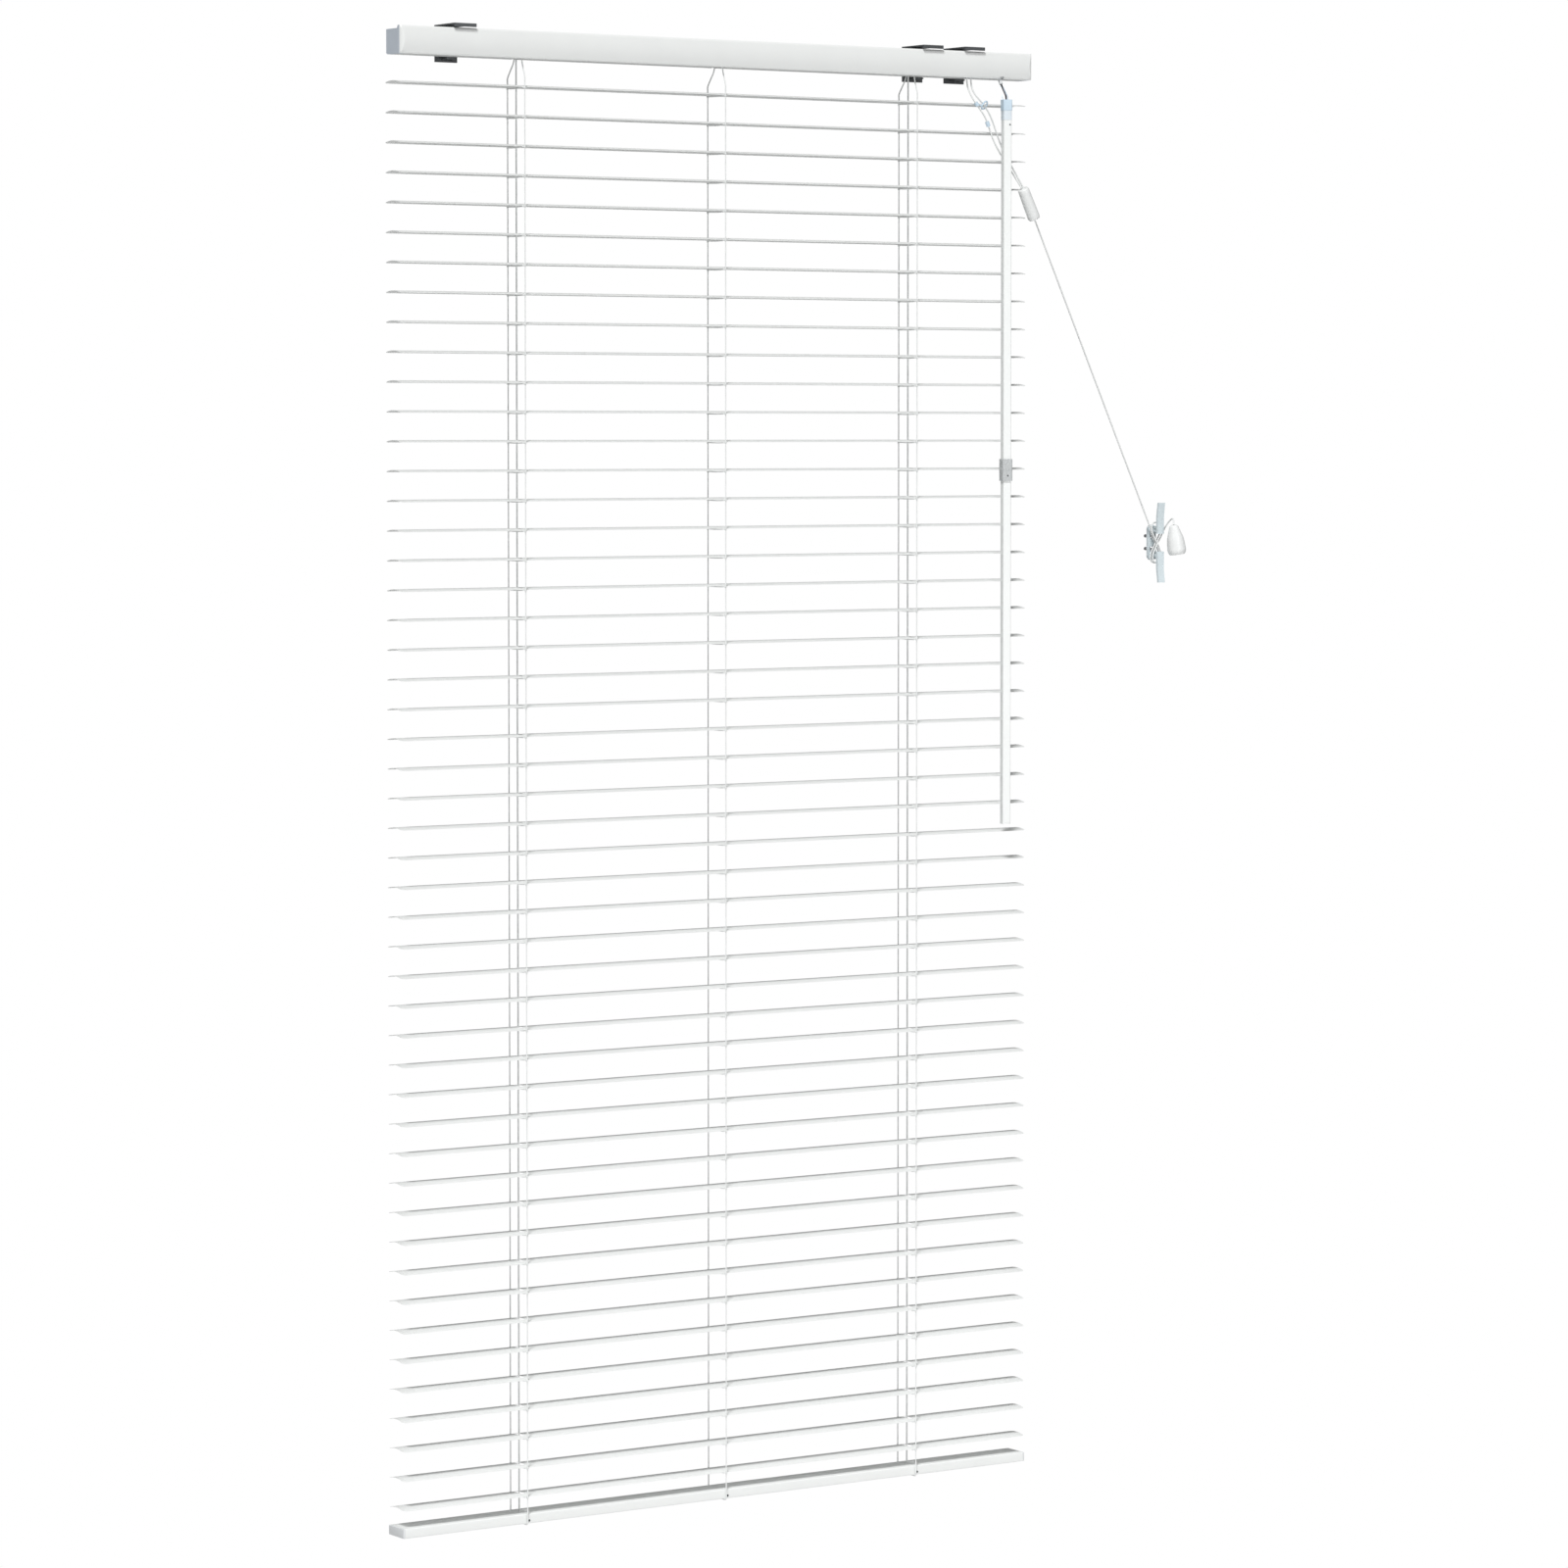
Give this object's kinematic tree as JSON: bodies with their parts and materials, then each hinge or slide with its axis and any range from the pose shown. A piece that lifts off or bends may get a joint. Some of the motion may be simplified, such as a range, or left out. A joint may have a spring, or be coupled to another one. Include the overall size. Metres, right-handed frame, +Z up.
{
  "type": "venetian blind",
  "caption": "Aluminium venetian blind with tilting slats, headrail on snap-in wall brackets, tilt wand, and pull cords to a wall cleat.",
  "frame": {"origin": "on the wall plane, at the middle of the line between the wall screw holes of the two outer brackets", "axes": "+Z up, +X to the right as seen from the room, +Y towards the wall"},
  "size_m": [0.8155, 0.0529, 1.2548],
  "materials": {
    "slat_white": "satin",
    "rail_white": "satin",
    "fitting_plastic": "satin",
    "bracket_steel": "satin",
    "rod_steel": "drawn",
    "wand_plastic": "semi-gloss",
    "cord_white": "braided",
    "pull_plastic": "semi-gloss",
    "clear_plastic": "clear, slightly blue"
  },
  "bodies": {
    "headrail": {"headrail": "rail_white", "headrail_fittings": "fitting_plastic", "mounting_brackets": "bracket_steel", "ladder_and_lift_cords": "cord_white", "pull_cord": "cord_white", "pull_cord_winding": "cord_white", "cord_pulls": "pull_plastic", "cord_cleat": "clear_plastic"},
    "tilt_rod": {"tilt_rod": "rod_steel"},
    "tilt_wand": {"tilt_wand": "wand_plastic"},
    "bottom_rail": {"bottom_rail": "rail_white"},
    "slat_01": {"slat_01": "slat_white"},
    "slat_02": {"slat_02": "slat_white"},
    "slat_03": {"slat_03": "slat_white"},
    "slat_04": {"slat_04": "slat_white"},
    "slat_05": {"slat_05": "slat_white"},
    "slat_06": {"slat_06": "slat_white"},
    "slat_07": {"slat_07": "slat_white"},
    "slat_08": {"slat_08": "slat_white"},
    "slat_09": {"slat_09": "slat_white"},
    "slat_10": {"slat_10": "slat_white"},
    "slat_11": {"slat_11": "slat_white"},
    "slat_12": {"slat_12": "slat_white"},
    "slat_13": {"slat_13": "slat_white"},
    "slat_14": {"slat_14": "slat_white"},
    "slat_15": {"slat_15": "slat_white"},
    "slat_16": {"slat_16": "slat_white"},
    "slat_17": {"slat_17": "slat_white"},
    "slat_18": {"slat_18": "slat_white"},
    "slat_19": {"slat_19": "slat_white"},
    "slat_20": {"slat_20": "slat_white"},
    "slat_21": {"slat_21": "slat_white"},
    "slat_22": {"slat_22": "slat_white"},
    "slat_23": {"slat_23": "slat_white"},
    "slat_24": {"slat_24": "slat_white"},
    "slat_25": {"slat_25": "slat_white"},
    "slat_26": {"slat_26": "slat_white"},
    "slat_27": {"slat_27": "slat_white"},
    "slat_28": {"slat_28": "slat_white"},
    "slat_29": {"slat_29": "slat_white"},
    "slat_30": {"slat_30": "slat_white"},
    "slat_31": {"slat_31": "slat_white"},
    "slat_32": {"slat_32": "slat_white"},
    "slat_33": {"slat_33": "slat_white"},
    "slat_34": {"slat_34": "slat_white"},
    "slat_35": {"slat_35": "slat_white"},
    "slat_36": {"slat_36": "slat_white"},
    "slat_37": {"slat_37": "slat_white"},
    "slat_38": {"slat_38": "slat_white"},
    "slat_39": {"slat_39": "slat_white"},
    "slat_40": {"slat_40": "slat_white"},
    "slat_41": {"slat_41": "slat_white"},
    "slat_42": {"slat_42": "slat_white"},
    "slat_43": {"slat_43": "slat_white"},
    "slat_44": {"slat_44": "slat_white"},
    "slat_45": {"slat_45": "slat_white"},
    "slat_46": {"slat_46": "slat_white"},
    "slat_47": {"slat_47": "slat_white"},
    "slat_48": {"slat_48": "slat_white"},
    "slat_49": {"slat_49": "slat_white"}
  },
  "joints": [
    {"name": "tilt", "type": "hinge", "parent": "headrail", "child": "tilt_rod", "pos_m": [0, -0.0185, -0.002], "axis": [1, 0, 0], "range_deg": [-75, 75]},
    {"name": "wand_spin", "type": "hinge", "parent": "headrail", "child": "tilt_wand", "pos_m": [0.2885, -0.038, -0.35], "axis": [0, 0, 1], "range_deg": [-900, 900]},
    {"name": "bottom_rail_tilt", "type": "hinge", "parent": "headrail", "child": "bottom_rail", "pos_m": [0, -0.0155, -1.232], "axis": [1, 0, 0], "range_deg": [-75, 75]},
    {"name": "slat_01_tilt", "type": "hinge", "parent": "headrail", "child": "slat_01", "pos_m": [0, -0.0155, -0.0345], "axis": [1, 0, 0], "range_deg": [-75, 75]},
    {"name": "slat_02_tilt", "type": "hinge", "parent": "headrail", "child": "slat_02", "pos_m": [0, -0.0155, -0.0591], "axis": [1, 0, 0], "range_deg": [-75, 75]},
    {"name": "slat_03_tilt", "type": "hinge", "parent": "headrail", "child": "slat_03", "pos_m": [0, -0.0155, -0.0837], "axis": [1, 0, 0], "range_deg": [-75, 75]},
    {"name": "slat_04_tilt", "type": "hinge", "parent": "headrail", "child": "slat_04", "pos_m": [0, -0.0155, -0.1083], "axis": [1, 0, 0], "range_deg": [-75, 75]},
    {"name": "slat_05_tilt", "type": "hinge", "parent": "headrail", "child": "slat_05", "pos_m": [0, -0.0155, -0.1329], "axis": [1, 0, 0], "range_deg": [-75, 75]},
    {"name": "slat_06_tilt", "type": "hinge", "parent": "headrail", "child": "slat_06", "pos_m": [0, -0.0155, -0.1575], "axis": [1, 0, 0], "range_deg": [-75, 75]},
    {"name": "slat_07_tilt", "type": "hinge", "parent": "headrail", "child": "slat_07", "pos_m": [0, -0.0155, -0.1821], "axis": [1, 0, 0], "range_deg": [-75, 75]},
    {"name": "slat_08_tilt", "type": "hinge", "parent": "headrail", "child": "slat_08", "pos_m": [0, -0.0155, -0.2067], "axis": [1, 0, 0], "range_deg": [-75, 75]},
    {"name": "slat_09_tilt", "type": "hinge", "parent": "headrail", "child": "slat_09", "pos_m": [0, -0.0155, -0.2313], "axis": [1, 0, 0], "range_deg": [-75, 75]},
    {"name": "slat_10_tilt", "type": "hinge", "parent": "headrail", "child": "slat_10", "pos_m": [0, -0.0155, -0.2559], "axis": [1, 0, 0], "range_deg": [-75, 75]},
    {"name": "slat_11_tilt", "type": "hinge", "parent": "headrail", "child": "slat_11", "pos_m": [0, -0.0155, -0.2805], "axis": [1, 0, 0], "range_deg": [-75, 75]},
    {"name": "slat_12_tilt", "type": "hinge", "parent": "headrail", "child": "slat_12", "pos_m": [0, -0.0155, -0.3051], "axis": [1, 0, 0], "range_deg": [-75, 75]},
    {"name": "slat_13_tilt", "type": "hinge", "parent": "headrail", "child": "slat_13", "pos_m": [0, -0.0155, -0.3297], "axis": [1, 0, 0], "range_deg": [-75, 75]},
    {"name": "slat_14_tilt", "type": "hinge", "parent": "headrail", "child": "slat_14", "pos_m": [0, -0.0155, -0.3543], "axis": [1, 0, 0], "range_deg": [-75, 75]},
    {"name": "slat_15_tilt", "type": "hinge", "parent": "headrail", "child": "slat_15", "pos_m": [0, -0.0155, -0.3789], "axis": [1, 0, 0], "range_deg": [-75, 75]},
    {"name": "slat_16_tilt", "type": "hinge", "parent": "headrail", "child": "slat_16", "pos_m": [0, -0.0155, -0.4035], "axis": [1, 0, 0], "range_deg": [-75, 75]},
    {"name": "slat_17_tilt", "type": "hinge", "parent": "headrail", "child": "slat_17", "pos_m": [0, -0.0155, -0.4281], "axis": [1, 0, 0], "range_deg": [-75, 75]},
    {"name": "slat_18_tilt", "type": "hinge", "parent": "headrail", "child": "slat_18", "pos_m": [0, -0.0155, -0.4527], "axis": [1, 0, 0], "range_deg": [-75, 75]},
    {"name": "slat_19_tilt", "type": "hinge", "parent": "headrail", "child": "slat_19", "pos_m": [0, -0.0155, -0.4773], "axis": [1, 0, 0], "range_deg": [-75, 75]},
    {"name": "slat_20_tilt", "type": "hinge", "parent": "headrail", "child": "slat_20", "pos_m": [0, -0.0155, -0.5019], "axis": [1, 0, 0], "range_deg": [-75, 75]},
    {"name": "slat_21_tilt", "type": "hinge", "parent": "headrail", "child": "slat_21", "pos_m": [0, -0.0155, -0.5265], "axis": [1, 0, 0], "range_deg": [-75, 75]},
    {"name": "slat_22_tilt", "type": "hinge", "parent": "headrail", "child": "slat_22", "pos_m": [0, -0.0155, -0.5511], "axis": [1, 0, 0], "range_deg": [-75, 75]},
    {"name": "slat_23_tilt", "type": "hinge", "parent": "headrail", "child": "slat_23", "pos_m": [0, -0.0155, -0.5757], "axis": [1, 0, 0], "range_deg": [-75, 75]},
    {"name": "slat_24_tilt", "type": "hinge", "parent": "headrail", "child": "slat_24", "pos_m": [0, -0.0155, -0.6003], "axis": [1, 0, 0], "range_deg": [-75, 75]},
    {"name": "slat_25_tilt", "type": "hinge", "parent": "headrail", "child": "slat_25", "pos_m": [0, -0.0155, -0.6249], "axis": [1, 0, 0], "range_deg": [-75, 75]},
    {"name": "slat_26_tilt", "type": "hinge", "parent": "headrail", "child": "slat_26", "pos_m": [0, -0.0155, -0.6495], "axis": [1, 0, 0], "range_deg": [-75, 75]},
    {"name": "slat_27_tilt", "type": "hinge", "parent": "headrail", "child": "slat_27", "pos_m": [0, -0.0155, -0.6741], "axis": [1, 0, 0], "range_deg": [-75, 75]},
    {"name": "slat_28_tilt", "type": "hinge", "parent": "headrail", "child": "slat_28", "pos_m": [0, -0.0155, -0.6987], "axis": [1, 0, 0], "range_deg": [-75, 75]},
    {"name": "slat_29_tilt", "type": "hinge", "parent": "headrail", "child": "slat_29", "pos_m": [0, -0.0155, -0.7233], "axis": [1, 0, 0], "range_deg": [-75, 75]},
    {"name": "slat_30_tilt", "type": "hinge", "parent": "headrail", "child": "slat_30", "pos_m": [0, -0.0155, -0.7479], "axis": [1, 0, 0], "range_deg": [-75, 75]},
    {"name": "slat_31_tilt", "type": "hinge", "parent": "headrail", "child": "slat_31", "pos_m": [0, -0.0155, -0.7725], "axis": [1, 0, 0], "range_deg": [-75, 75]},
    {"name": "slat_32_tilt", "type": "hinge", "parent": "headrail", "child": "slat_32", "pos_m": [0, -0.0155, -0.7971], "axis": [1, 0, 0], "range_deg": [-75, 75]},
    {"name": "slat_33_tilt", "type": "hinge", "parent": "headrail", "child": "slat_33", "pos_m": [0, -0.0155, -0.8217], "axis": [1, 0, 0], "range_deg": [-75, 75]},
    {"name": "slat_34_tilt", "type": "hinge", "parent": "headrail", "child": "slat_34", "pos_m": [0, -0.0155, -0.8463], "axis": [1, 0, 0], "range_deg": [-75, 75]},
    {"name": "slat_35_tilt", "type": "hinge", "parent": "headrail", "child": "slat_35", "pos_m": [0, -0.0155, -0.8709], "axis": [1, 0, 0], "range_deg": [-75, 75]},
    {"name": "slat_36_tilt", "type": "hinge", "parent": "headrail", "child": "slat_36", "pos_m": [0, -0.0155, -0.8955], "axis": [1, 0, 0], "range_deg": [-75, 75]},
    {"name": "slat_37_tilt", "type": "hinge", "parent": "headrail", "child": "slat_37", "pos_m": [0, -0.0155, -0.9201], "axis": [1, 0, 0], "range_deg": [-75, 75]},
    {"name": "slat_38_tilt", "type": "hinge", "parent": "headrail", "child": "slat_38", "pos_m": [0, -0.0155, -0.9447], "axis": [1, 0, 0], "range_deg": [-75, 75]},
    {"name": "slat_39_tilt", "type": "hinge", "parent": "headrail", "child": "slat_39", "pos_m": [0, -0.0155, -0.9693], "axis": [1, 0, 0], "range_deg": [-75, 75]},
    {"name": "slat_40_tilt", "type": "hinge", "parent": "headrail", "child": "slat_40", "pos_m": [0, -0.0155, -0.9939], "axis": [1, 0, 0], "range_deg": [-75, 75]},
    {"name": "slat_41_tilt", "type": "hinge", "parent": "headrail", "child": "slat_41", "pos_m": [0, -0.0155, -1.0185], "axis": [1, 0, 0], "range_deg": [-75, 75]},
    {"name": "slat_42_tilt", "type": "hinge", "parent": "headrail", "child": "slat_42", "pos_m": [0, -0.0155, -1.0431], "axis": [1, 0, 0], "range_deg": [-75, 75]},
    {"name": "slat_43_tilt", "type": "hinge", "parent": "headrail", "child": "slat_43", "pos_m": [0, -0.0155, -1.0677], "axis": [1, 0, 0], "range_deg": [-75, 75]},
    {"name": "slat_44_tilt", "type": "hinge", "parent": "headrail", "child": "slat_44", "pos_m": [0, -0.0155, -1.0923], "axis": [1, 0, 0], "range_deg": [-75, 75]},
    {"name": "slat_45_tilt", "type": "hinge", "parent": "headrail", "child": "slat_45", "pos_m": [0, -0.0155, -1.1169], "axis": [1, 0, 0], "range_deg": [-75, 75]},
    {"name": "slat_46_tilt", "type": "hinge", "parent": "headrail", "child": "slat_46", "pos_m": [0, -0.0155, -1.1415], "axis": [1, 0, 0], "range_deg": [-75, 75]},
    {"name": "slat_47_tilt", "type": "hinge", "parent": "headrail", "child": "slat_47", "pos_m": [0, -0.0155, -1.1661], "axis": [1, 0, 0], "range_deg": [-75, 75]},
    {"name": "slat_48_tilt", "type": "hinge", "parent": "headrail", "child": "slat_48", "pos_m": [0, -0.0155, -1.1907], "axis": [1, 0, 0], "range_deg": [-75, 75]},
    {"name": "slat_49_tilt", "type": "hinge", "parent": "headrail", "child": "slat_49", "pos_m": [0, -0.0155, -1.2153], "axis": [1, 0, 0], "range_deg": [-75, 75]}
  ],
  "couplings": [
    {"joint": "wand_spin", "follows": "tilt", "ratio": 12},
    {"joint": "bottom_rail_tilt", "follows": "tilt", "ratio": 1},
    {"joint": "slat_01_tilt", "follows": "tilt", "ratio": 1},
    {"joint": "slat_02_tilt", "follows": "tilt", "ratio": 1},
    {"joint": "slat_03_tilt", "follows": "tilt", "ratio": 1},
    {"joint": "slat_04_tilt", "follows": "tilt", "ratio": 1},
    {"joint": "slat_05_tilt", "follows": "tilt", "ratio": 1},
    {"joint": "slat_06_tilt", "follows": "tilt", "ratio": 1},
    {"joint": "slat_07_tilt", "follows": "tilt", "ratio": 1},
    {"joint": "slat_08_tilt", "follows": "tilt", "ratio": 1},
    {"joint": "slat_09_tilt", "follows": "tilt", "ratio": 1},
    {"joint": "slat_10_tilt", "follows": "tilt", "ratio": 1},
    {"joint": "slat_11_tilt", "follows": "tilt", "ratio": 1},
    {"joint": "slat_12_tilt", "follows": "tilt", "ratio": 1},
    {"joint": "slat_13_tilt", "follows": "tilt", "ratio": 1},
    {"joint": "slat_14_tilt", "follows": "tilt", "ratio": 1},
    {"joint": "slat_15_tilt", "follows": "tilt", "ratio": 1},
    {"joint": "slat_16_tilt", "follows": "tilt", "ratio": 1},
    {"joint": "slat_17_tilt", "follows": "tilt", "ratio": 1},
    {"joint": "slat_18_tilt", "follows": "tilt", "ratio": 1},
    {"joint": "slat_19_tilt", "follows": "tilt", "ratio": 1},
    {"joint": "slat_20_tilt", "follows": "tilt", "ratio": 1},
    {"joint": "slat_21_tilt", "follows": "tilt", "ratio": 1},
    {"joint": "slat_22_tilt", "follows": "tilt", "ratio": 1},
    {"joint": "slat_23_tilt", "follows": "tilt", "ratio": 1},
    {"joint": "slat_24_tilt", "follows": "tilt", "ratio": 1},
    {"joint": "slat_25_tilt", "follows": "tilt", "ratio": 1},
    {"joint": "slat_26_tilt", "follows": "tilt", "ratio": 1},
    {"joint": "slat_27_tilt", "follows": "tilt", "ratio": 1},
    {"joint": "slat_28_tilt", "follows": "tilt", "ratio": 1},
    {"joint": "slat_29_tilt", "follows": "tilt", "ratio": 1},
    {"joint": "slat_30_tilt", "follows": "tilt", "ratio": 1},
    {"joint": "slat_31_tilt", "follows": "tilt", "ratio": 1},
    {"joint": "slat_32_tilt", "follows": "tilt", "ratio": 1},
    {"joint": "slat_33_tilt", "follows": "tilt", "ratio": 1},
    {"joint": "slat_34_tilt", "follows": "tilt", "ratio": 1},
    {"joint": "slat_35_tilt", "follows": "tilt", "ratio": 1},
    {"joint": "slat_36_tilt", "follows": "tilt", "ratio": 1},
    {"joint": "slat_37_tilt", "follows": "tilt", "ratio": 1},
    {"joint": "slat_38_tilt", "follows": "tilt", "ratio": 1},
    {"joint": "slat_39_tilt", "follows": "tilt", "ratio": 1},
    {"joint": "slat_40_tilt", "follows": "tilt", "ratio": 1},
    {"joint": "slat_41_tilt", "follows": "tilt", "ratio": 1},
    {"joint": "slat_42_tilt", "follows": "tilt", "ratio": 1},
    {"joint": "slat_43_tilt", "follows": "tilt", "ratio": 1},
    {"joint": "slat_44_tilt", "follows": "tilt", "ratio": 1},
    {"joint": "slat_45_tilt", "follows": "tilt", "ratio": 1},
    {"joint": "slat_46_tilt", "follows": "tilt", "ratio": 1},
    {"joint": "slat_47_tilt", "follows": "tilt", "ratio": 1},
    {"joint": "slat_48_tilt", "follows": "tilt", "ratio": 1},
    {"joint": "slat_49_tilt", "follows": "tilt", "ratio": 1}
  ]
}
